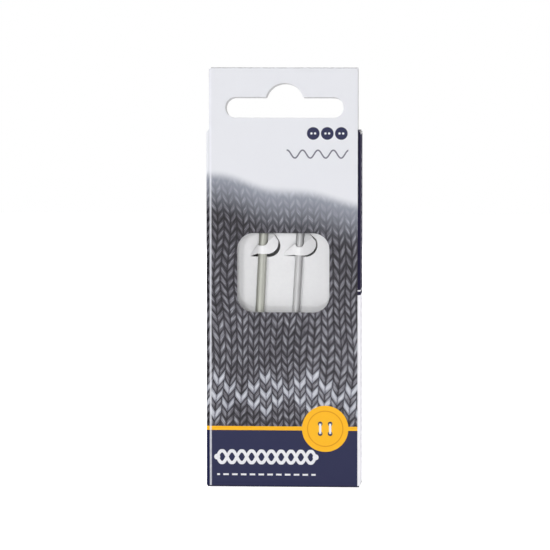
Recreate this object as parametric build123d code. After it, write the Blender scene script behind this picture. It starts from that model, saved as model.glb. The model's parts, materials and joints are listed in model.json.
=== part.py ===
from build123d import *
import os
from collections import namedtuple
from math import acos, atan2, cos, hypot, radians, sin, tan

# A pack of two loop-eye yarn needles: a window carton with a hang tab, a folded holder card
# behind the window, and two needles held on the card by lifted die-cut hooks.
# Millimetres. The front of the pack faces -Y, +Z is up. The origin is at the middle of the
# base. Heights are measured from the base.

# Needles: a blunt tapered shaft with a nylon loop for an eye
needle_length = 80.0
needle_foot_height = 8.0
needle_head_space = 8.8
large_diameter = 2.4
large_lean_degrees = 2.86
large_place_x = -6.05
small_diameter = 2.05
small_lean_degrees = 3.19
small_place_x = 3.85
tip_length = 6.0
tip_diameter_share = 0.55
tip_round_share = 0.9
rim_round = 0.15
socket_depth = 3.0

# Nylon loops
filament_diameter = 0.5
filament_gap = 0.06
socket_clearance = 0.05
loop_neck = 0.4
loop_neck_bend = 5.0
loop_flare_degrees = 26.0
large_loop_radius = 3.1
small_loop_radius = 2.9

# Carton board and body
board = 0.4
body_width = 41.8
body_depth = 12.0
crease_radius = 0.75
shoulder_rise = 0.6
shoulder_fall = 0.5
seam_setback = 0.15

# Hang tab and its slot, the common 32 mm hanging hole
tab_height = 17.2
slot_length = 32.0
slot_height = 5.6
slot_below_top = 10.8
slot_round_radius = 5.25
slot_round_rise = 1.33
slot_corner_round = 0.2
slot_off_centre = 0.3
backing_slip = 0.35
backing_inset = 0.2
backing_lift = 0.3

# Window
window_width = 25.0
window_height = 21.5
window_corner = 4.4
window_middle_height = 58.4

# Closures: lids, tuck tongues and dust flaps
lid_side_gap = 0.3
lid_corner = 0.8
fold_round = 0.3
tongue_length = 9.0
tongue_corner = 3.0
tongue_gap = 0.5
flap_length = 6.5
flap_tongue_gap = 0.4
flap_front_gap = 0.6
flap_lid_gap = 0.1
flap_taper_gap = 0.5
flap_corner = 1.0
glue_flap_width = 8.0
glue_flap_end_gap = 4.0
glue_flap_taper = 2.0

# Holder card
card_board = 0.4
card_bend = 0.7
card_side_gap = 0.3
card_base_gap = 0.2
card_head_space = 8.3
card_corner_cut = 7.0
leg_base_gap = 11.0
leg_head_gap = 8.5
leg_back_gap = 0.4

# Hooks: die-cut straps of the holder card, lifted over the needles
needle_seat = 0.05
hook_clearance = 0.08
hook_front_gap = 0.8
hook_below_window_top = 5.7
lower_hook_height = 20.5
small_hook_lag = 0.4
large_hook_reach = 3.4
large_hook_root = 0.5
large_hook_tip_drop = 1.1
large_hook_drop = 0.95
large_hook_swing = 3.05
large_hook_edge = 2.85
large_slot_corner = 0.3
small_hook_reach = 4.3
small_hook_root = 0.8
small_hook_tip_drop = 0.55
small_hook_drop = 0.45
small_hook_swing = 3.2
small_hook_edge = 3.15
small_slot_corner = 0.9
hook_swing_x = 1.6
hook_edge_x = 1.25
hook_swing_degrees = 35.0
hook_edge_degrees = 15.0
hook_band = 2.2
hook_top = 6.3
hook_bend_height = 2.6
hook_top_width = 0.85
slot_side_gap = 0.12
hook_overlap = 0.3

# Worked out from the sizes above
inner_foot = 2 * board + flap_lid_gap
body_height = needle_foot_height + needle_length + needle_head_space
total_height = body_height + tab_height
half_width = body_width / 2
half_depth = body_depth / 2
half_flat = half_width - crease_radius
wall_end = half_depth - crease_radius
front_inner = -half_depth + board
back_inner = half_depth - board
lid_underside = body_height - board
wall_top = body_height - inner_foot
tongue_width = 2 * (half_width - flap_length - flap_tongue_gap)
window_top = window_middle_height + window_height / 2
slot_middle_height = total_height - slot_below_top
card_front = front_inner + hook_front_gap + card_board + hook_clearance + needle_seat + large_diameter
card_half_width = half_width - 2 * board - card_side_gap
card_half_flat = card_half_width - card_bend
card_foot = inner_foot + card_base_gap
card_top = body_height - card_head_space
upper_hook_height = window_top - hook_below_window_top
half_pitch = (filament_diameter + filament_gap) / 2
socket_diameter = 2 * half_pitch + filament_diameter + 2 * socket_clearance
overrun = body_depth


def area(left, right, low, high):
    """Rectangle between two pairs of coordinates."""
    return Pos((left + right) / 2, (low + high) / 2) * Rectangle(right - left, high - low)


def block(left, right, front, back, low, high):
    """Box between three pairs of coordinates."""
    size = Box(right - left, back - front, high - low)
    return Pos((left + right) / 2, (front + back) / 2, (low + high) / 2) * size


def front_sheet(outline, front, thickness):
    """Sheet whose outline is drawn as seen from the front, from its front face back."""
    return extrude(Plane.XZ.offset(-(front + thickness)) * outline, thickness)


def plan_sheet(outline, low, thickness):
    """Sheet whose outline is drawn in plan, from its underside up."""
    return extrude(Pos(0, 0, low) * outline, thickness)


def mirrored(shape):
    """The same piece on the other side of the pack."""
    return mirror(shape, about=Plane.YZ)


def save(name, shape):
    export_step(shape, "parts/" + name + ".step")


# Front panel and hang tab


def hanging_hole(slip):
    """The hanging hole: a round-ended bar with a round bulge above it."""
    bar = SlotOverall(slot_length, slot_height)
    bulge = Pos(0, slot_round_rise) * Circle(slot_round_radius)
    hole = bar + (bulge & area(-slot_length, slot_length, 0, slot_length))
    top_line = hole.vertices().filter_by(lambda corner: abs(corner.Y - slot_height / 2) < slot_corner_round)
    inner_corners = top_line.filter_by(lambda corner: abs(corner.X) < slot_round_radius)
    place = Pos(slot_off_centre + slip, slot_middle_height - slip)
    return place * fillet(inner_corners, slot_corner_round)


def front_panel():
    """Front of the carton, which runs on upwards as the front ply of the hang tab."""
    outline = area(-half_flat, half_flat, board, total_height - board)
    window = Pos(0, window_middle_height) * RectangleRounded(window_width, window_height, window_corner)
    return front_sheet(outline - window - hanging_hole(0), -half_depth, board)


def hang_tab_backing():
    """Rear ply of the hang tab, with the round fold over its top; it has slipped to one side."""
    side = half_flat - backing_inset
    outline = area(backing_slip - side, backing_slip + side, body_height + backing_lift, total_height - board)
    ply = front_sheet(outline - hanging_hole(backing_slip), front_inner, board)
    fold_line = Pos(backing_slip, front_inner, total_height - board) * Rot(0, 90, 0)
    fold = fold_line * Cylinder(board, 2 * side)
    above = block(-half_width, half_width, -half_depth, 0, total_height - board, total_height)
    return ply + (fold & above)


# Side and back panels


def crease_corner(radius_centre_x, low, high, back):
    """Quarter-round crease between two panels, on the right of the pack."""
    ring = Circle(crease_radius) - Circle(crease_radius - board)
    quarter = ring & area(0, crease_radius, 0, crease_radius)
    if not back:
        quarter = mirror(quarter, about=Plane.XZ)
    centre_y = wall_end if back else -wall_end
    return plan_sheet(Pos(radius_centre_x, centre_y) * quarter, low, high - low)


def front_corner():
    """Right front crease, its top cut on a slope down from the hang tab."""
    corner = crease_corner(half_flat, board, body_height + shoulder_rise, False)
    slope = Polyline(
        (half_flat, body_height + shoulder_rise),
        (half_width, body_height - shoulder_fall),
        (half_width + overrun, body_height - shoulder_fall),
        (half_width + overrun, body_height + overrun),
        (half_flat, body_height + overrun),
        close=True,
    )
    return corner - front_sheet(make_face(slope), -half_depth - overrun, 2 * overrun)


def side_wall(back_end):
    """Flat of the right side panel, from the front crease to the given back end."""
    return block(half_width - board, half_width, -wall_end, back_end, inner_foot, wall_top)


def right_side_panel():
    return side_wall(wall_end) + front_corner() + crease_corner(half_flat, 0, lid_underside, True)


def left_side_panel():
    """Left side panel; its back edge is raw, laid over the crease of the glue flap."""
    return mirrored(side_wall(half_depth - seam_setback) + front_corner())


def back_panel():
    outline = area(-(half_flat - board), half_flat, 0, lid_underside)
    return front_sheet(outline, back_inner, board)


def glue_flap():
    """Flap glued inside the left side panel, with its crease to the back panel."""
    corner = crease_corner(half_flat - board, 0, lid_underside, True)
    low = inner_foot + glue_flap_end_gap
    high = wall_top - glue_flap_end_gap
    free_edge = wall_end - glue_flap_width
    outline = Polyline(
        (wall_end, low),
        (wall_end, high),
        (free_edge, high - glue_flap_taper),
        (free_edge, low + glue_flap_taper),
        close=True,
    )
    flap = extrude(Plane.YZ.offset(half_width - 2 * board) * make_face(outline), board)
    return mirrored(corner + flap)


# Closures


def tucked_lid():
    """Top closure panel, hinged on the back panel, its hinge edge rounded like a fold."""
    front = front_inner + tongue_gap
    side = half_width - lid_side_gap
    outline = area(-side, side, front, half_depth)
    front_corners = outline.vertices().filter_by(lambda corner: corner.Y < 0)
    lid = plan_sheet(fillet(front_corners, lid_corner), lid_underside, board)
    fold_edge = lid.edges().filter_by(Axis.X).sort_by(Axis.Y)[-2:].sort_by(Axis.Z)[-1]
    return fillet(fold_edge, fold_round)


def tuck_tongue():
    """Tongue under the front edge of the top closure panel, tucked behind the front panel."""
    whole = Pos(0, lid_underside) * RectangleRounded(tongue_width, 2 * tongue_length, tongue_corner)
    outline = whole & area(-half_width, half_width, lid_underside - overrun, lid_underside)
    return front_sheet(outline, front_inner + tongue_gap, board)


def dust_flap():
    """Right top dust flap. A slope at the back lets it rise together with the lid above it."""
    front = front_inner + flap_front_gap
    slope_end = half_depth - flap_taper_gap
    outline = Polyline(
        (half_width, front),
        (half_width - flap_length, front),
        (half_width - flap_length, slope_end - flap_length),
        (half_width - (slope_end - wall_end), wall_end),
        (half_width, wall_end),
        close=True,
    )
    face = make_face(outline)
    free_corner = face.vertices().sort_by(Axis.X)[:2].sort_by(Axis.Y)[0]
    return plan_sheet(fillet(free_corner, flap_corner), wall_top, board)


def at_base(shape):
    """The bottom closure is the top one turned over: its lid is hinged on the front panel."""
    turned = Rot(180, 0, 0) * shape
    return Pos(0, 0, body_height) * turned


# Holder card

# A hook: needle diameter and lean, crossing point, reach to the left, width and drop of its left
# end, drop of the cut under it, radii of the cut and of the hook's edge, corner of the needle slot
Hook = namedtuple("Hook", "diameter lean x z reach root tip_drop drop swing edge corner")


def tangent_point(foot, centre, radius, side):
    """Point where the line from a foot touches a circle, on the given side of it."""
    reach = hypot(foot[0] - centre[0], foot[1] - centre[1])
    turn = atan2(foot[1] - centre[1], foot[0] - centre[0]) + side * acos(radius / reach)
    return (centre[0] + radius * cos(turn), centre[1] + radius * sin(turn))


def raised(region):
    """The region one board thicker, and the flat card beside it."""
    flat = area(-overrun, overrun, 0, card_board)
    above = area(-overrun, overrun, -overrun, card_board)
    return (offset(region, card_board) & above) + flat


def space_over_needle(hook):
    """Plan of the space under a hook: round over the needle, straight down to both feet."""
    centre = (0, -(needle_seat + hook.diameter / 2))
    radius = hook.diameter / 2 + hook_clearance
    left_foot = (-hook.reach + hook_overlap, card_board)
    right_foot = (hook_swing_x + hook.swing, card_board)
    left_touch = tangent_point(left_foot, centre, radius, 1)
    right_touch = tangent_point(right_foot, centre, radius, -1)
    crown = (0, centre[1] - radius)
    edges = [
        Line(left_foot, left_touch),
        ThreePointArc(left_touch, crown, right_touch),
        Line(right_touch, right_foot),
        Line(right_foot, left_foot),
    ]
    return make_face(edges)


def space_under_leg(hook):
    """Side view of the same space, which runs down to the card at the top of the hook."""
    crown = -(needle_seat + hook.diameter + hook_clearance)
    outline = Polyline(
        (card_board, -overrun),
        (crown, -overrun),
        (crown, hook_bend_height),
        (card_board, hook_top - hook_overlap / 2),
        close=True,
    )
    return make_face(outline)


def slot_side(hook):
    """Half the width of the slot that shows the needle above the hook."""
    return hook.diameter / 2 + slot_side_gap


def hook_opening(hook):
    """Outline cut out of the card for one hook, seen from the front."""
    middle_height = hook.swing - hook.drop
    swing = radians(hook_swing_degrees)
    swing_end = (hook_swing_x + hook.swing * cos(swing), middle_height + hook.swing * sin(swing))
    side = slot_side(hook)
    root_top = (-hook.reach, hook.root - hook.tip_drop)
    edges = [
        Line((-hook.reach, -hook.tip_drop), (hook_swing_x, -hook.drop)),
        ThreePointArc((hook_swing_x, -hook.drop), (hook_swing_x + hook.swing, middle_height), swing_end),
        Line(swing_end, (side + hook_top_width, hook_top)),
        Line((side + hook_top_width, hook_top), (-side, hook_top)),
        Line((-side, hook_top), (-side, hook_band + hook.corner)),
        Line((-side, hook_band + hook.corner), root_top),
        Line(root_top, (-hook.reach, -hook.tip_drop)),
    ]
    return make_face(edges)


def hook_outline(hook):
    """Outline of the lifted hook, which has drawn in from the edge of its opening."""
    turn = radians(hook_edge_degrees)
    edge_end = (hook_edge_x + hook.edge * cos(turn), hook.edge * (1 + sin(turn)))
    side = slot_side(hook)
    half_way = sin(radians(45))
    far_left = -(hook.reach + hook_overlap)
    high = hook_top + hook_overlap
    root_top = hook.root - hook.tip_drop
    corner_middle = (-side + hook.corner * (1 - half_way), hook_band + hook.corner * (1 - half_way))
    edges = [
        Line((far_left, -hook.tip_drop), (-hook.reach, -hook.tip_drop)),
        Line((-hook.reach, -hook.tip_drop), (-side, 0)),
        Line((-side, 0), (hook_edge_x, 0)),
        ThreePointArc((hook_edge_x, 0), (hook_edge_x + hook.edge, hook.edge), edge_end),
        Line(edge_end, (side + hook_top_width - slot_side_gap, high)),
        Line((side + hook_top_width - slot_side_gap, high), (side, high)),
        Line((side, high), (side, hook_band + side)),
        ThreePointArc(
            (side, hook_band + side), (side * half_way, hook_band + side * (1 - half_way)), (0, hook_band)
        ),
        Line((0, hook_band), (-side + hook.corner, hook_band)),
        ThreePointArc((-side + hook.corner, hook_band), corner_middle, (-side, hook_band + hook.corner)),
        Line((-side, hook_band + hook.corner), (-hook.reach, root_top)),
        Line((-hook.reach, root_top), (far_left, root_top)),
        Line((far_left, root_top), (far_left, -hook.tip_drop)),
    ]
    return make_face(edges)


def lifted_hook(hook):
    """One lifted hook about its crossing point on the front face of the card."""
    across = space_over_needle(hook)
    along = space_under_leg(hook)
    start = Pos(0, 0, -overrun)
    under = extrude(start * across, 2 * overrun)
    over = extrude(start * raised(across), 2 * overrun)
    side_view = Plane.YZ.offset(-overrun)
    turned_raised = raised(Rot(0, 0, 90) * along)
    under_leg = extrude(side_view * along, 2 * overrun)
    over_leg = extrude(side_view * (Rot(0, 0, -90) * turned_raised), 2 * overrun)
    stem = front_sheet(hook_outline(hook), -overrun, overrun + card_board)
    return ((over & over_leg) - (under & under_leg)) & stem


def hooks():
    """The four hooks of the card, two to a needle."""
    lean_large = tan(radians(large_lean_degrees))
    lean_small = tan(radians(small_lean_degrees))
    made = []
    for z in (upper_hook_height, lower_hook_height):
        x = large_place_x + (z - window_middle_height) * lean_large
        made.append(
            Hook(large_diameter, large_lean_degrees, x, z, large_hook_reach, large_hook_root,
                 large_hook_tip_drop, large_hook_drop, large_hook_swing, large_hook_edge, large_slot_corner)
        )
        z -= small_hook_lag
        x = small_place_x + (z - window_middle_height) * lean_small
        made.append(
            Hook(small_diameter, small_lean_degrees, x, z, small_hook_reach, small_hook_root,
                 small_hook_tip_drop, small_hook_drop, small_hook_swing, small_hook_edge, small_slot_corner)
        )
    return made


def holder_card():
    """Face of the holder card with its lifted hooks."""
    outline = area(-card_half_flat, card_half_flat, card_foot, card_top)
    top_corners = outline.vertices().sort_by(Axis.Y)[-2:]
    outline = chamfer(top_corners, card_corner_cut)
    for hook in hooks():
        outline -= Pos(hook.x, hook.z) * Rot(0, 0, -hook.lean) * hook_opening(hook)
    card = front_sheet(outline, card_front, card_board)
    for hook in hooks():
        card += Pos(hook.x, card_front, hook.z) * Rot(0, hook.lean, 0) * lifted_hook(hook)
    return card


def holder_card_leg():
    """Right leg of the holder card, folded back from its face."""
    low = inner_foot + leg_base_gap
    high = card_top - leg_head_gap
    ring = Circle(card_bend) - Circle(card_bend - card_board)
    quarter = ring & area(0, card_bend, -card_bend, 0)
    bend_middle = card_front + card_bend
    bend = plan_sheet(Pos(card_half_flat, bend_middle) * quarter, low, high - low)
    leg = block(
        card_half_width - card_board, card_half_width, bend_middle, back_inner - leg_back_gap, low, high
    )
    return bend + leg


# Needles


def shaft(diameter, length):
    """Needle shaft standing on its tip, with a socket for the loop in its top."""
    radius = diameter / 2
    tip_radius = radius * tip_diameter_share
    outline = Polyline((0, 0), (tip_radius, 0), (radius, tip_length), (radius, length), (0, length), close=True)
    profile = make_face(outline)
    corners = profile.vertices()
    tip_corner = corners.filter_by(lambda corner: 0 < corner.X < radius and corner.Y < tip_length)
    profile = fillet(tip_corner, tip_radius * tip_round_share)
    rim = profile.vertices().filter_by(lambda corner: corner.X > tip_radius and corner.Y > tip_length)
    profile = fillet(rim, rim_round)
    solid = revolve(Plane.XZ * profile, Axis.Z)
    socket = Pos(0, 0, length - socket_depth / 2) * Cylinder(socket_diameter / 2, socket_depth)
    return solid - socket


def loop_points(loop_radius):
    """Right leg of a loop: start, middle and end of its bend, then foot and top of the head."""
    flare = radians(loop_flare_degrees)

    def on_bend(turn):
        return (half_pitch + loop_neck_bend * (1 - cos(turn)), loop_neck + loop_neck_bend * sin(turn))

    bend_end = on_bend(flare)
    middle = bend_end[1] + (loop_radius - bend_end[0] * cos(flare)) / sin(flare)
    touch = (loop_radius * cos(flare), middle - loop_radius * sin(flare))
    return on_bend(0), on_bend(flare / 2), bend_end, touch, (0, middle + loop_radius)


def nylon_loop(loop_radius):
    """Loop eye: two legs side by side out of the socket, flaring to a round head."""
    neck, bend_middle, bend_end, touch, top = loop_points(loop_radius)
    foot = (half_pitch, -socket_depth)

    def at(point, side=1):
        return (side * point[0], 0, point[1])

    path = Line(at(foot), at(neck))
    path += ThreePointArc(at(neck), at(bend_middle), at(bend_end))
    path += Line(at(bend_end), at(touch))
    path += ThreePointArc(at(touch), at(top), at(touch, -1))
    path += Line(at(touch, -1), at(bend_end, -1))
    path += ThreePointArc(at(bend_end, -1), at(bend_middle, -1), at(neck, -1))
    path += Line(at(neck, -1), at(foot, -1))
    section = Pos(half_pitch, 0, -socket_depth) * Circle(filament_diameter / 2)
    return sweep(section, path)


def save_needle(name, diameter, lean, place_x, loop_radius):
    """Both pieces of a needle, leaning in front of the holder card."""
    loop_height = loop_points(loop_radius)[-1][1] + filament_diameter / 2
    shaft_length = needle_length - loop_height
    foot_x = place_x + (needle_foot_height - window_middle_height) * tan(radians(lean))
    place_y = card_front - needle_seat - diameter / 2
    place = Pos(foot_x, place_y, needle_foot_height) * Rot(0, lean, 0)
    save(name + "_shaft", place * shaft(diameter, shaft_length))
    save(name + "_loop", place * Pos(0, 0, shaft_length) * nylon_loop(loop_radius))


os.makedirs("parts", exist_ok=True)
save("front_panel", front_panel())
save("hang_tab_backing", hang_tab_backing())
save("left_side_panel", left_side_panel())
save("right_side_panel", right_side_panel())
save("back_panel", back_panel())
save("glue_flap", glue_flap())
save("top_lid", tucked_lid())
save("top_tongue", tuck_tongue())
save("top_dust_flap_right", dust_flap())
save("top_dust_flap_left", mirrored(dust_flap()))
save("bottom_lid", at_base(tucked_lid()))
save("bottom_tongue", at_base(tuck_tongue()))
save("bottom_dust_flap_right", at_base(dust_flap()))
save("bottom_dust_flap_left", at_base(mirrored(dust_flap())))
save("holder_card", holder_card())
save("holder_card_leg_right", holder_card_leg())
save("holder_card_leg_left", mirrored(holder_card_leg()))
save_needle("large_needle", large_diameter, large_lean_degrees, large_place_x, large_loop_radius)
save_needle("small_needle", small_diameter, small_lean_degrees, small_place_x, small_loop_radius)
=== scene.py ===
import json
import math

import bmesh
import bpy
from mathutils import Matrix, Vector


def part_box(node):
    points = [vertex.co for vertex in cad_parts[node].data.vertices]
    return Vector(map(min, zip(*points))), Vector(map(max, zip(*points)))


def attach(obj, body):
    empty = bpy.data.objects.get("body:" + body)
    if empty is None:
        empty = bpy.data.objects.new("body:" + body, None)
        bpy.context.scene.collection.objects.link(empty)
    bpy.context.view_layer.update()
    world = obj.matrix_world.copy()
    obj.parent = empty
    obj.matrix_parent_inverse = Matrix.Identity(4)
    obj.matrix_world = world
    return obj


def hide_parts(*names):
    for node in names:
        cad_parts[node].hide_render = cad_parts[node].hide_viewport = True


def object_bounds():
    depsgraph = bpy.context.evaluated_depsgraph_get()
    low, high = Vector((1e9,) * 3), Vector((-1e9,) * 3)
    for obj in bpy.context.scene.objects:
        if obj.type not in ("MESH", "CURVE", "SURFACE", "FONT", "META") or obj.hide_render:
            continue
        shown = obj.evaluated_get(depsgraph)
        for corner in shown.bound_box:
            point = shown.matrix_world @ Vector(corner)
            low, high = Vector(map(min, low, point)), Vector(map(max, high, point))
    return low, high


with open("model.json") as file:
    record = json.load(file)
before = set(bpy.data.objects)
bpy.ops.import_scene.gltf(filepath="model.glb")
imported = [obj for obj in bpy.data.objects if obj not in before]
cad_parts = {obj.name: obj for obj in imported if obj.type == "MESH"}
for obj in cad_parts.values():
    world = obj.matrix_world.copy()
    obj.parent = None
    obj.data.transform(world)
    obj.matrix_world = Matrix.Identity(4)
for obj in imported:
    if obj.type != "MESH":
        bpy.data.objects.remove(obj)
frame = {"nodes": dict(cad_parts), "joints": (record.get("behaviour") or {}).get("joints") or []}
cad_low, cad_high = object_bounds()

# Camera. The photograph looks at the front of the pack a little from the right and from above,
# through a long lens.
view_turn = math.radians(3.7)
view_rise = math.radians(4.3)
view_distance = 1.2
view_width = 0.149
view_middle = Vector((-0.00225, cad_low.y, 0.0578))
sensor_width = 36.0


def direction(turn, rise):
    """From the pack towards a camera or lamp that is turned to the right and raised."""
    level = math.cos(rise)
    return Vector((math.sin(turn) * level, -math.cos(turn) * level, math.sin(rise)))


def aim(thing, towards):
    """Turns a camera or lamp so that it looks back along the given direction."""
    thing.rotation_mode = "QUATERNION"
    thing.rotation_quaternion = (-towards).to_track_quat("-Z", "Y")


lens = bpy.data.cameras.new("studio_camera")
lens.sensor_width = sensor_width
lens.lens = sensor_width * view_distance / view_width
camera = bpy.data.objects.new("studio_camera", lens)
bpy.context.scene.collection.objects.link(camera)
aim(camera, direction(view_turn, view_rise))
camera.location = view_middle + view_distance * direction(view_turn, view_rise)
bpy.context.scene.camera = camera
bpy.context.scene.view_settings.view_transform = "Standard"


# Floor. A sheet of white studio card under the pack. It takes the soft shadow of the pack and casts
# none itself, so the low lamp shines up through it.
class Value:
    """One varying value or colour of a material. Sums and comparisons of it add Math nodes."""

    def __init__(self, tree, socket=None):
        self.tree = tree
        self.socket = socket

    def node(self, kind, settings, inputs, output=0):
        """Any other node: its settings are set first, then the values or links of its sockets."""
        made = self.tree.nodes.new("ShaderNode" + kind)
        for name, setting in settings.items():
            if name == "stops":
                ramp = made.color_ramp
                ramp.elements[0].position, ramp.elements[0].color = setting[0]
                ramp.elements[-1].position, ramp.elements[-1].color = setting[-1]
                for place, colour in setting[1:-1]:
                    ramp.elements.new(place).color = colour
            else:
                setattr(made, name, setting)
        for socket, given in inputs.items():
            if isinstance(given, Value):
                self.tree.links.new(given.socket, made.inputs[socket])
            else:
                made.inputs[socket].default_value = given
        return Value(self.tree, made.outputs[output])

    def maths(self, operation, first, second=0.0):
        return self.node("Math", {"operation": operation}, {0: first, 1: second})

    def __add__(self, other):
        return self.maths("ADD", self, other)

    def __sub__(self, other):
        return self.maths("SUBTRACT", self, other)

    def __rsub__(self, other):
        return self.maths("SUBTRACT", other, self)

    def __mul__(self, other):
        return self.maths("MULTIPLY", self, other)

    def __truediv__(self, other):
        return self.maths("DIVIDE", self, other)

    def __mod__(self, other):
        return self.maths("FLOORED_MODULO", self, other)

    def __gt__(self, other):
        return self.maths("GREATER_THAN", self, other)

    def __lt__(self, other):
        return self.maths("LESS_THAN", self, other)

    def __and__(self, other):
        return self.maths("MINIMUM", self, other)

    def __or__(self, other):
        return self.maths("MAXIMUM", self, other)

    def __abs__(self):
        return self.maths("ABSOLUTE", self)

    def __floor__(self):
        return self.maths("FLOOR", self)

    __radd__ = __add__
    __rmul__ = __mul__

    def root(self):
        return self.maths("SQRT", self)

    def rise(self, low, high):
        """0 up to low and 1 from high on, smooth between. It falls where low is above high."""
        settings = {"interpolation_type": "SMOOTHSTEP"}
        return self.node("MapRange", settings, {0: self, 1: low, 2: high})

    def below(self, limit, soft):
        """1 below the limit and 0 above it, with a soft border."""
        return self.rise(limit + soft, limit - soft)

    def within(self, middle, half, soft):
        """1 within half of the middle and 0 outside, with a soft border."""
        return abs(self - middle).below(half, soft)

    def colours(self, off, on):
        """A colour that goes from off to on as this value goes from 0 to 1."""
        return self.node("Mix", {"data_type": "RGBA"}, {0: self, 6: off, 7: on}, 2)

    def feeds(self, socket):
        """Links this value to a socket of a shader."""
        self.tree.links.new(self.socket, socket)


def srgb(*levels):
    """Colour of a print or finish, given in levels of 0 to 255."""
    linear = [((v / 255 + 0.055) / 1.055) ** 2.4 if v > 10 else v / 255 / 12.92 for v in levels]
    return (*linear, 1.0)


def new_material(name):
    material = bpy.data.materials.new(name)
    material.use_nodes = True
    return material, material.node_tree.nodes["Principled BSDF"], Value(material.node_tree)


def seen_directly(values):
    """1 for rays from the camera, from a reflection or through something clear."""
    direct, *others = ("Is Camera Ray", "Is Glossy Ray", "Is Transmission Ray")
    seen = values.node("LightPath", {}, {}, direct)
    rays = seen.socket.node.outputs
    for kind in others:
        seen = seen | Value(values.tree, rays[kind])
    return seen


floor_half = 1.2
floor_glow = 0.85
floor_roughness = 0.9
floor_gloss = 0.2
floor_white = srgb(226, 226, 227)
floor_form = bmesh.new()
bmesh.ops.create_grid(floor_form, x_segments=1, y_segments=1, size=floor_half)
floor_mesh = bpy.data.meshes.new("studio_floor")
floor_form.to_mesh(floor_mesh)
floor_form.free()
floor = bpy.data.objects.new("studio_floor", floor_mesh)
bpy.context.scene.collection.objects.link(floor)
floor.visible_shadow = False
floor_card, floor_shader, values = new_material("studio_card")
floor_shader.inputs["Base Color"].default_value = floor_white
floor_shader.inputs["Roughness"].default_value = floor_roughness
floor_shader.inputs["Specular IOR Level"].default_value = floor_gloss
floor_shader.inputs["Emission Strength"].default_value = floor_glow
seen_directly(values).feeds(floor_shader.inputs["Emission Color"])
floor_mesh.materials.append(floor_card)

# Lamps. Wide soft lamps stand round the pack, as in a light tent, with two smaller ones in front of
# it. A small low lamp shines up at the window and leaves a shadow of the sill on the card.
room_level = 0.14
room_white = srgb(255, 255, 255)
world = bpy.data.worlds.new("studio_room")
bpy.context.scene.world = world
world.use_nodes = True
room = world.node_tree.nodes["Background"]
level = room_level + (1 - room_level) * seen_directly(Value(world.node_tree))
level.feeds(room.inputs["Strength"])
room.inputs["Color"].default_value = room_white


def add_lamp(name, turn, rise, strength, size=0.6, distance=0.9):
    """A square lamp aimed at the pack's middle; strength is the light on a face turned to it."""
    light = bpy.data.lights.new(name, "AREA")
    light.shape = "SQUARE"
    light.size = size
    light.energy = strength * (math.pi * distance) ** 2
    lamp = bpy.data.objects.new(name, light)
    towards = direction(math.radians(turn), math.radians(rise))
    aim(lamp, towards)
    lamp.location = (cad_low + cad_high) / 2 + distance * towards
    bpy.context.scene.collection.objects.link(lamp)
    return lamp


add_lamp("front_lamp", turn=-20, rise=8, strength=0.165, size=0.12)
add_lamp("fill_lamp", turn=3, rise=6, strength=0.205, size=0.3)
add_lamp("left_lamp", turn=-88, rise=10, strength=0.45)
add_lamp("right_lamp", turn=88, rise=10, strength=0.55)
add_lamp("top_lamp", turn=0, rise=87, strength=0.42)
add_lamp("back_lamp", turn=180, rise=20, strength=0.45)
low_lamp = add_lamp("low_lamp", turn=-3, rise=-18.7, strength=0.12, size=0.02, distance=0.8)
low_lamp.visible_glossy = False

# Front panel, which runs on upwards as the hang tab. Folding boxboard, white and varnished over its
# print outside and pale grey inside, with the fibre of its core showing at every cut edge in a dark
# grey that is partly the core's own tone and partly painted shade.
per_millimetre = 1000
board = 0.4
ink_depth = 0.03
half_width = 20.9
half_depth = 6.0
front_gloss = 0.2
front_roughness = 0.42
fibre_roughness = 0.82
fibre_grain, fibre_detail = 2.2, 4.0
ripple_grain, ripple_detail = 0.35, 1.0
ripple_roughness = 0.08
ripple_height = 0.6
tooth_grain, tooth_detail = 6.0, 3.0
tooth_distance = 0.00005
board_tooth = 0.12
varnish_fill = 0.8
grey_shaded, grey_light = srgb(194, 194, 196), srgb(212, 212, 213)
# Cut edges: the core's own grey, made darker with painted shade along the edge.
core_and_edge_shade_dark, core_and_edge_shade_pale = srgb(134, 132, 130), srgb(166, 164, 162)
navy = srgb(31, 34, 69)
amber = srgb(254, 188, 30)
header_white = srgb(230, 231, 236)


def place_on_pack(values):
    """Place on a piece, right, back and up from the pack's origin, in millimetres."""
    place = values.node("TexCoord", {}, {}, "Object")
    axes = [values.node("SeparateXYZ", {}, {0: place}, axis) for axis in "XYZ"]
    return [axis * per_millimetre for axis in axes]


def noise(right, back, up, scale, detail=2.0):
    """Noise from 0 to 1 with a grain of the given number to the millimetre. A flat print gives the
    number of a slice in place of one direction, so that no two of its patterns are alike."""
    place = right.node("CombineXYZ", {}, {0: right, 1: back, 2: up})
    return right.node("TexNoise", {}, {"Vector": place, "Scale": scale, "Detail": detail})


def print_on_board(name, print_of, depth_of, gloss, varnish_roughness):
    """Finish of one panel, told apart by depth into the board: print, fibre darkened by painted
    shade, then grey inside.
    """
    material, shader, values = new_material(name)
    right, back, up = place_on_pack(values)
    depth = depth_of(right, back, up)
    printed = depth < ink_depth
    inside = depth > board - ink_depth
    fibre = noise(right, back, up, fibre_grain, fibre_detail)
    # The cut edge's dark grey is partly the core's tone and partly painted shade.
    edge = fibre.colours(core_and_edge_shade_dark, core_and_edge_shade_pale)
    grey = fibre.colours(grey_shaded, grey_light)
    colour = printed.colours(inside.colours(edge, grey), print_of(right, back, up))
    colour.feeds(shader.inputs["Base Color"])
    ripple = noise(right, back, up, ripple_grain, ripple_detail)
    varnish = varnish_roughness + ripple_roughness * ripple
    rough = varnish * printed + fibre_roughness * (1 - printed)
    rough.feeds(shader.inputs["Roughness"])
    tooth = noise(right, back, up, tooth_grain, tooth_detail)
    tooth = tooth * (1 - varnish_fill * printed) + ripple_height * ripple
    surface = {"Height": tooth, "Strength": board_tooth, "Distance": tooth_distance}
    values.node("Bump", {}, surface, "Normal").feeds(shader.inputs["Normal"])
    shader.inputs["Specular IOR Level"].default_value = gloss
    return material


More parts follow.
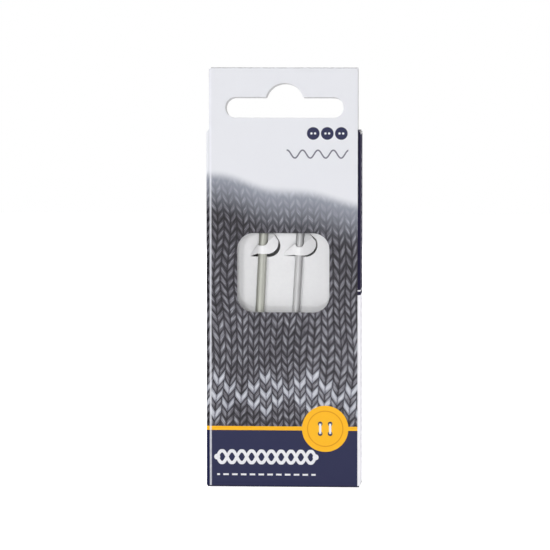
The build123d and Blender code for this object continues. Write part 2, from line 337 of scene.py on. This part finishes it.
wale = 3.3
course = 2.55
leg_slope = 0.95
dark_yarn = [
    (0.0, srgb(20, 18, 23)),
    (0.3, srgb(62, 60, 67)),
    (0.52, srgb(110, 108, 116)),
    (0.78, srgb(172, 174, 182)),
    (1.0, srgb(218, 220, 226)),
]
pale_yarn = [
    (0.0, srgb(66, 66, 76)),
    (0.3, srgb(128, 129, 140)),
    (0.6, srgb(188, 190, 199)),
    (1.0, srgb(226, 227, 233)),
]
roundness_share = 0.56
fibre_share = 1.1
marl_share = 0.45
fold_share = 0.5
pale_lift = 0.1
sway_width, sway_grain = 4.0, 0.045
drift_height, drift_grain = 7.0, 0.04
fold_grain = 0.03
fibre_along, fibre_across, fibre_step = 1.5, 8.0, 5.3
marl_along, marl_across, marl_step = 0.7, 2.3, 3.1
diamond_half = 2
diamond_row = 9
diamond_line_half, diamond_line_soft = 0.5, 0.1


def knitted_cloth(right, up):
    """Stocking stitch in marled charcoal, its legs bundles of fibres, with one pale row of
    diamonds."""
    sway = noise(right, up, 0.0, sway_grain, 0.0)
    drift = noise(right, up, 40.0, drift_grain, 0.0)
    right = right + sway_width * (sway - 0.5)
    up = up + drift_height * (drift - 0.5)
    column = right / wale
    lean = abs(2 * (column % 1) - 1)
    row = up / course - leg_slope * lean
    over_leg = 2 * (row % 1) - 1
    along_leg = 2 * lean - 1
    along_square = along_leg * along_leg
    roundness = (1 - over_leg * over_leg) * (1 - along_square * along_square)
    leg_number = math.floor(2 * column)
    fibre_place = lean * fibre_along + fibre_step * leg_number
    fibre = noise(fibre_place, row * fibre_across, leg_number, 1.0, 4.0)
    marl_place = lean * marl_along + marl_step * leg_number
    marl = noise(marl_place, math.floor(row) * marl_across, leg_number, 1.0, 1.0)
    fold = noise(right, up, 7.0, fold_grain, 1.0)
    light = roundness_share * roundness + fibre_share * (fibre - 0.5)
    light = light + marl_share * (marl - 0.5) + fold_share * (fold - 0.5)
    dark = light.node("ValToRGB", {"stops": dark_yarn}, {0: light})
    pale = light.node("ValToRGB", {"stops": pale_yarn}, {0: light + pale_lift})
    across = abs(math.floor(column) % (2 * diamond_half) - diamond_half)
    steps = across + abs(math.floor(row) - diamond_row)
    outline = steps.within(diamond_half, diamond_line_half, diamond_line_soft)
    return (outline | (steps < 0.5)).colours(dark, pale)


foot_top = 16.6
border_width = 1.1
edging_left, edging_right = -18.0, 8.8
edging_height = 8.2
edging_wave = 1.6
edging_waves = 5
edging_period = (edging_right - edging_left) / edging_waves
edging_half = 0.44
knot_radius = 0.8
stitch_height = 3.4
stitch_period = 2.4
stitch_share = 0.62
stitch_end_soft = 0.03
thin_stitch_half = 0.24
button_place = (11.4, 16.0)
button_radius = 6.3
button_line_inset = 1.5
button_line_half = 0.14
button_line_soft = 0.08
button_hole_offset = 1.35
button_hole_radius = 0.62
button_thread_half = 0.3
button_thread_end = 0.05
button_thread_fade = 0.15
dark_amber = srgb(226, 150, 12)
edging_white = srgb(236, 236, 240)
thread_white = srgb(240, 240, 244)
print_soft = 0.05
round_soft = 0.06


def distance_from(right, up, place):
    aside = right - place[0]
    above = up - place[1]
    return (aside * aside + above * above).root()


def running_stitch(along, across, half):
    """A row of straight stitches with a gap between each."""
    stitch = (along / stitch_period % 1).within(0.5, stitch_share / 2, stitch_end_soft)
    return stitch & across.within(0.0, half, print_soft)


def wavy_band(right, up, height, wave, period, half):
    """A band of even width that waves up and down along the panel."""
    pace = 2 * math.pi / period
    slope = wave * pace * right.maths("COSINE", right * pace)
    offset = up - height - wave * right.maths("SINE", right * pace)
    return (abs(offset) / (1 + slope * slope).root()).below(half, round_soft)


def braid(right, up, left, end, height):
    """Two wavy cords that cross each other, with a knot where they meet at either end."""
    along = right - left
    over = wavy_band(along, up, height, edging_wave, edging_period, edging_half)
    under = wavy_band(along, up, height, -edging_wave, edging_period, edging_half)
    braided = (over | under) & right.within((left + end) / 2, (end - left) / 2, print_soft)
    for place in ((left, height), (end, height)):
        braided = braided | distance_from(right, up, place).below(knot_radius, round_soft)
    return braided


def sewn_button(picture, right, up, place):
    """An amber button with four holes, sewn on with two pale stitches."""
    reach = distance_from(right, up, place)
    aside = abs(right - place[0])
    above = abs(up - place[1])
    disc = reach.below(button_radius, round_soft)
    line = reach.within(button_radius - button_line_inset, button_line_half, button_line_soft)
    hole = distance_from(aside, above, (button_hole_offset, button_hole_offset))
    hole = hole.below(button_hole_radius, round_soft)
    thread = aside.within(button_hole_offset, button_thread_half, round_soft)
    thread = thread & above.below(button_hole_offset + button_thread_end, button_thread_fade)
    button = line.colours(amber, dark_amber)
    button = thread.colours(hole.colours(button, navy), thread_white)
    return disc.colours(picture, button)


motif_right = 17.6
beads_left = 6.2
bead_height = 96.2
bead_period = 3.8
bead_radius = 1.72
bead_hole_offset = 0.5
bead_hole_radius = 0.3
thread_left = 0.9
thread_height = 90.6
thread_wave = 1.05
thread_period = 4.17
thread_half = 0.2
thread_grey = srgb(112, 110, 124)


def header_motif(paper, right, up):
    """A row of small navy buttons over a loose grey thread, near the right of the header."""
    beside = ((right - beads_left) / bead_period % 1 - 0.5) * bead_period
    bead = distance_from(beside, up, (0.0, bead_height)).below(bead_radius, round_soft)
    beads_middle = (beads_left + motif_right) / 2
    bead = bead & right.within(beads_middle, motif_right - beads_middle, print_soft)
    hole = distance_from(abs(beside), up, (bead_hole_offset, bead_height))
    hole = hole.below(bead_hole_radius, round_soft)
    thread = wavy_band(right, up, thread_height, thread_wave, thread_period, thread_half)
    thread_middle = (thread_left + motif_right) / 2
    thread = thread & right.within(thread_middle, motif_right - thread_middle, print_soft)
    marked = thread.colours(paper, thread_grey)
    return bead.colours(marked, hole.colours(navy, header_white))


cloth_top = 80.0
cloth_wave = 8.0
cloth_wave_grain = 0.05
cloth_wave_stretch = 0.2
cloth_slope = 0.22
cloth_rim_soft = 1.6
haze_top = 2.0
haze_foot = 12.0
haze_share = 0.7
haze_grey = srgb(180, 185, 198)
shaded_white = srgb(226, 227, 234)
header_top = 100.0
# Pale line beside the left crease: partly worn print, partly a painted highlight of the rounded
# crease.
wear_and_highlight_crease = -19.75
wear_and_highlight_half = 0.24
wear_and_highlight_soft = 0.14
wear_and_highlight_least = 0.45
wear_and_highlight_change = 0.5
wear_and_highlight_white = srgb(240, 241, 248)
wear_and_highlight_grain = 0.5


def front_picture(right, up):
    """Print of the front panel, and of the strip that it carries round the left crease, with a pale
    line beside that crease that is partly worn print and partly a painted highlight.
    """
    cloth = knitted_cloth(right, up)
    wave = noise(right, up * cloth_wave_stretch, 3.0, cloth_wave_grain, 0.0)
    rim = up - cloth_wave * (wave - 0.5) + cloth_slope * right
    haze = rim.rise(cloth_top - haze_foot, cloth_top + haze_top)
    cloth = (haze_share * haze).colours(cloth, haze_grey)
    paper = up.rise(foot_top, header_top).colours(shaded_white, header_white)
    paper = header_motif(paper, right, up)
    picture = rim.below(cloth_top, cloth_rim_soft).colours(paper, cloth)
    picture = (up < foot_top).colours(picture, amber)
    edging_middle = (edging_left + edging_right) / 2
    stitches = running_stitch(right, up - stitch_height, thin_stitch_half)
    stitches = stitches & right.within(edging_middle, edging_right - edging_middle, print_soft)
    edging = braid(right, up, edging_left, edging_right, edging_height) | stitches
    foot = edging.colours(navy, edging_white)
    picture = (up < foot_top - border_width).colours(picture, foot)
    picture = sewn_button(picture, right, up, button_place)
    # Painted highlight and wear along the left crease: a pale line, patchy along its length.
    wear_and_highlight_patches = noise(right, up, 12.0, wear_and_highlight_grain, 3.0)
    wear_and_highlight = right.within(wear_and_highlight_crease, wear_and_highlight_half, wear_and_highlight_soft) * (wear_and_highlight_least + wear_and_highlight_change * wear_and_highlight_patches)
    return wear_and_highlight.colours(picture, wear_and_highlight_white)


def front_print(right, back, up):
    return front_picture(right, up)


def front_depth(right, back, up):
    return back + half_depth


def dress(material, *nodes):
    for node in nodes:
        frame["nodes"][node].material_slots[0].material = material


front_finish = print_on_board("front_print", front_print, front_depth, front_gloss, front_roughness)
dress(front_finish, "front_panel")

# Side panels, creased back from the front, whose picture runs a little way round the left crease.
# The sides are navy above and white below, with a thin white line across the navy and a printed
# row of running stitches up the middle.
crease_radius = 0.75
side_split = 52.4
side_line = 53.6
side_line_half = 0.16
bleed = 1.6
wide_stitch_half = 0.3
seam_middle = 48.4
seam_half = 42.0
side_gloss = 0.03
side_roughness = 0.7
dark_navy = srgb(36, 33, 54)
coated_white = srgb(236, 235, 240)


def wall_depth(right, back, up):
    """Depth into the board all round the body, whose creases are rounded."""
    beyond_side = (abs(right) - (half_width - crease_radius)) | 0.0
    beyond_face = (abs(back) - (half_depth - crease_radius)) | 0.0
    return crease_radius - (beyond_side * beyond_side + beyond_face * beyond_face).root()


def side_print(right, back, up):
    line = up.within(side_line, side_line_half, print_soft)
    upper = up > side_split
    seam = running_stitch(up, back, wide_stitch_half)
    seam = seam & up.within(seam_middle, seam_half, print_soft)
    seam = seam & (abs(up - side_line) > stitch_period)
    ground = seam.colours(upper.colours(coated_white, dark_navy), upper.colours(navy, coated_white))
    return line.colours(ground, coated_white)


def left_print(right, back, up):
    """The front print unrolled round the crease, and then the print of the sides."""
    unrolled = right - (back + half_depth)
    sides = side_print(right, back, up)
    return (unrolled > -half_width - bleed).colours(sides, front_picture(unrolled, up))


right_finish = print_on_board("side_print", side_print, wall_depth, side_gloss, side_roughness)
dress(right_finish, "right_side_panel")
left_finish = print_on_board("left_side_print", left_print, wall_depth, side_gloss, side_roughness)
dress(left_finish, "left_side_panel")

# Back panel. It is navy and white like the sides. Each half carries a printed frame of running
# stitches, the upper one round a button and the lower one round a braid.
frame_half_width = 16.8
frame_half_height = 18.0
upper_frame_middle = 74.6
lower_frame_middle = 28.0
braid_half = 2 * edging_period


def stitched_frame(right, up, middle):
    """A rectangle of running stitches round the middle of one half of the back."""
    level = up - middle
    posts = running_stitch(level, abs(right) - frame_half_width, wide_stitch_half)
    posts = posts & (abs(level) < frame_half_height)
    rails = running_stitch(right, abs(level) - frame_half_height, wide_stitch_half)
    rails = rails & (abs(right) < frame_half_width)
    return posts | rails


def back_print(right, back, up):
    plain = side_print(right, back, up)
    navy_half = stitched_frame(right, up, upper_frame_middle).colours(plain, coated_white)
    navy_half = sewn_button(navy_half, right, up, (0.0, upper_frame_middle))
    both = stitched_frame(right, up, lower_frame_middle).colours(navy_half, navy)
    return braid(right, up, -braid_half, braid_half, lower_frame_middle).colours(both, amber)


def back_depth(right, back, up):
    return half_depth - back


back_finish = print_on_board("back_print", back_print, back_depth, side_gloss, side_roughness)
dress(back_finish, "back_panel")

# Rear ply of the hang tab and glue flap. The ply is the end of the blank, folded over at the top
# of the tab and glued, white as far as the fold and navy behind. The flap is glued inside the left
# side panel, and its crease, which shows at the back, carries the print on round.
fold_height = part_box("hang_tab_backing")[1].z * per_millimetre - board
cloud_grain = 0.4
crack_and_shade_grain = 3.0
crack_and_shade_foot, crack_and_shade_full = 0.1, 0.25
crack_and_shade_least, crack_and_shade_most = 0.3, 0.7
crack_and_shade_grey = srgb(172, 171, 171)


def navy_print(right, back, up):
    return noise(right, back, up, cloud_grain).colours(dark_navy, navy)


def ply_print(right, back, up):
    """The white of the header runs up to the top of the fold, whose print is greyed there in fine
    cracks: partly cracked print, partly painted shade along the top of the fold.
    """
    outside = (back > board - half_depth).colours(header_white, navy_print(right, back, up))
    # Painted shade and cracked print: grey in fine cracks over the top of the fold.
    cracks_and_shade = noise(right, back, up, crack_and_shade_grain, 3.0).rise(crack_and_shade_least, crack_and_shade_most)
    bent = (up - fold_height).rise(crack_and_shade_foot, crack_and_shade_full)
    return (bent * cracks_and_shade).colours(outside, crack_and_shade_grey)


def ply_depth(right, back, up):
    """The ply's outside is its rear face and, at the fold, a half round over both plies."""
    behind = back + half_depth - board
    above = (up - fold_height) | 0.0
    return board - (behind * behind + above * above).root()


def flap_depth(right, back, up):
    """The crease of the flap lies one board inside the outside of the left side panel."""
    return wall_depth(abs(right) + board, back, up)


ply_finish = print_on_board("tab_ply_print", ply_print, ply_depth, side_gloss, side_roughness)
dress(ply_finish, "hang_tab_backing")
flap_finish = print_on_board("glue_flap_print", side_print, flap_depth, side_gloss, side_roughness)
dress(flap_finish, "glue_flap")

# Closures. The lids fold over from the back at the top and from the front at the base, and are
# printed navy. The tongues and dust flaps that are tucked in are bare board.
lid_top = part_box("top_lid")[1].z * per_millimetre


def top_depth(right, back, up):
    """The lid's outside is its top and, at the hinge, its rounded back edge."""
    return (lid_top - up) & (half_depth - back)


def base_depth(right, back, up):
    return up & (back + half_depth)


for lid, depth_of in (("top_lid", top_depth), ("bottom_lid", base_depth)):
    dress(print_on_board(lid + "_print", navy_print, depth_of, side_gloss, side_roughness), lid)
bare_board, bare_shader, values = new_material("bare_board")
right, back, up = place_on_pack(values)
fibre = noise(right, back, up, fibre_grain, fibre_detail)
fibre.colours(grey_shaded, grey_light).feeds(bare_shader.inputs["Base Color"])
bare_shader.inputs["Roughness"].default_value = fibre_roughness
ripple = noise(right, back, up, ripple_grain, ripple_detail)
tooth = noise(right, back, up, tooth_grain, tooth_detail) + ripple_height * ripple
surface = {"Height": tooth, "Strength": board_tooth, "Distance": tooth_distance}
values.node("Bump", {}, surface, "Normal").feeds(bare_shader.inputs["Normal"])
bare_shader.inputs["Specular IOR Level"].default_value = side_gloss
for end in ("top", "bottom"):
    dress(bare_board, f"{end}_tongue", f"{end}_dust_flap_left", f"{end}_dust_flap_right")

# Holder card. White uncoated card behind the window, folded back at both sides; its four hooks are
# cut out of it and lifted over the needles.
card_grain = 1.4
card_tooth_grain = 5.0
card_tooth = 0.1
card_roughness = 0.7
card_gloss = 0.2
card_shaded, card_light = srgb(243, 243, 245), srgb(251, 251, 252)
card_material, card_shader, values = new_material("holder_card_white")
right, back, up = place_on_pack(values)
fibre = noise(right, back, up, card_grain, fibre_detail)
fibre.colours(card_shaded, card_light).feeds(card_shader.inputs["Base Color"])
tooth = noise(right, back, up, card_tooth_grain, tooth_detail)
surface = {"Height": tooth, "Strength": card_tooth, "Distance": tooth_distance}
values.node("Bump", {}, surface, "Normal").feeds(card_shader.inputs["Normal"])
card_shader.inputs["Roughness"].default_value = card_roughness
card_shader.inputs["Specular IOR Level"].default_value = card_gloss
dress(card_material, "holder_card", "holder_card_leg_left", "holder_card_leg_right")

# Needle shafts. Two turned aluminium rods with a satin finish, the larger one anodised olive grey.
# Each tapers to a blunt tip, and its head is drilled for the loop.
tip_length = 0.006
tip_share = 0.55
tip_round_share = 0.9
rim_round = 0.00015
tip_segments = 6
rim_segments = 3
socket_depth = 0.003
socket_radius = 0.00058
facets = 64
same_place = rim_round / 10
sharp_angle = math.radians(50)


def slide_axis(body):
    """The direction of a needle is that of the joint that it slides on."""
    joint = next(joint for joint in frame["joints"] if joint["child"] == body)
    return Vector(joint["axis"]).normalized()


def turned_shaft(body, material):
    """A shaft about its own axis, tip down, set in the place of its CAD node."""
    name = body + "_shaft"
    low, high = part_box(name)
    axis = slide_axis(body)
    lean = math.atan2(axis.x, axis.z)
    radius = (high.y - low.y) / 2
    inner = radius - rim_round
    head = Vector((
        high.x - rim_round * (1 - math.sin(lean)) - inner * math.cos(lean),
        (low.y + high.y) / 2,
        high.z - rim_round * (1 - math.cos(lean)) - inner * math.sin(lean),
    ))
    length = (head.z - low.z) / math.cos(lean)
    tip_radius = radius * tip_share
    outline = [
        (0, 0),
        (tip_radius, 0),
        (radius, tip_length),
        (radius, length),
        (socket_radius, length),
        (socket_radius, length - socket_depth),
        (0, length - socket_depth),
    ]
    form = bmesh.new()
    corners = [form.verts.new((aside, 0, height - length)) for aside, height in outline]
    profile = [form.edges.new(pair) for pair in zip(corners, corners[1:])]
    bmesh.ops.spin(
        form, geom=corners + profile, cent=(0, 0, 0), axis=(0, 0, 1), angle=2 * math.pi,
        steps=facets, use_merge=True,
    )
    bmesh.ops.remove_doubles(form, verts=form.verts, dist=same_place / 2)
    bmesh.ops.recalc_face_normals(form, faces=form.faces)
    rounds = [
        (0, tip_radius, tip_radius * tip_round_share, tip_segments),
        (length, radius, rim_round, rim_segments),
    ]
    for height, aside, rounding, segments in rounds:
        ring = [
            edge for edge in form.edges
            if all(
                abs(vert.co.z - height + length) < same_place
                and abs(vert.co.xy.length - aside) < same_place
                for vert in edge.verts
            )
        ]
        bmesh.ops.bevel(
            form, geom=ring, offset=rounding, offset_type="OFFSET", segments=segments, profile=0.5,
            affect="EDGES", material=-1, clamp_overlap=True,
        )
    turned = Matrix.Translation(head) @ Matrix.Rotation(lean, 4, "Y")
    bmesh.ops.transform(form, matrix=turned, verts=form.verts)
    for face in form.faces:
        face.smooth = True
    mesh = bpy.data.meshes.new(name + "_turned")
    form.to_mesh(mesh)
    form.free()
    mesh.materials.append(material)
    mesh.set_sharp_from_angle(angle=sharp_angle)
    piece = bpy.data.objects.new(name + "_turned", mesh)
    bpy.context.scene.collection.objects.link(piece)
    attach(piece, body)
    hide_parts(name)


mark_across = 8.0
mark_along = 0.5
mark_shade = 0.9
mark_tooth = 0.06
mark_distance = 0.00002
satin_metal = 0.5
satin_roughness = 0.46
olive = srgb(168, 169, 161)
bare_grey = srgb(178, 178, 179)
handled_grain = 0.3
handled_roughness = 0.14


def satin(name, colour):
    """Satin metal with faint marks along the rod and slightly duller patches from handling."""
    material, shader, values = new_material(name)
    right, back, up = place_on_pack(values)
    marks = noise(right * mark_across, back * mark_across, up * mark_along, 1.0, 3.0)
    shaded = (*(mark_shade * level for level in colour[:3]), 1.0)
    marks.colours(shaded, colour).feeds(shader.inputs["Base Color"])
    rough = satin_roughness + handled_roughness * noise(right, back, up, handled_grain)
    rough.feeds(shader.inputs["Roughness"])
    surface = {"Height": marks, "Strength": mark_tooth, "Distance": mark_distance}
    values.node("Bump", {}, surface, "Normal").feeds(shader.inputs["Normal"])
    shader.inputs["Metallic"].default_value = satin_metal
    return material


turned_shaft("large_needle", satin("olive_satin", olive))
turned_shaft("small_needle", satin("grey_satin", bare_grey))

# Loop eyes. Clear nylon line bent to a loop that the yarn goes through. Both of its ends are glued
# side by side in the head of a shaft.
nylon_grain = 1.2
nylon_roughness = 0.18
nylon_cloud_roughness = 0.12
nylon_clearness = 0.5
nylon_shaded, nylon_light = srgb(222, 222, 217), srgb(240, 240, 236)
nylon, nylon_shader, values = new_material("clear_nylon")
right, back, up = place_on_pack(values)
cloudy = noise(right, back, up, nylon_grain)
cloudy.colours(nylon_shaded, nylon_light).feeds(nylon_shader.inputs["Base Color"])
rough = nylon_roughness + nylon_cloud_roughness * cloudy
rough.feeds(nylon_shader.inputs["Roughness"])
nylon_shader.inputs["Transmission Weight"].default_value = nylon_clearness
dress(nylon, "large_needle_loop", "small_needle_loop")
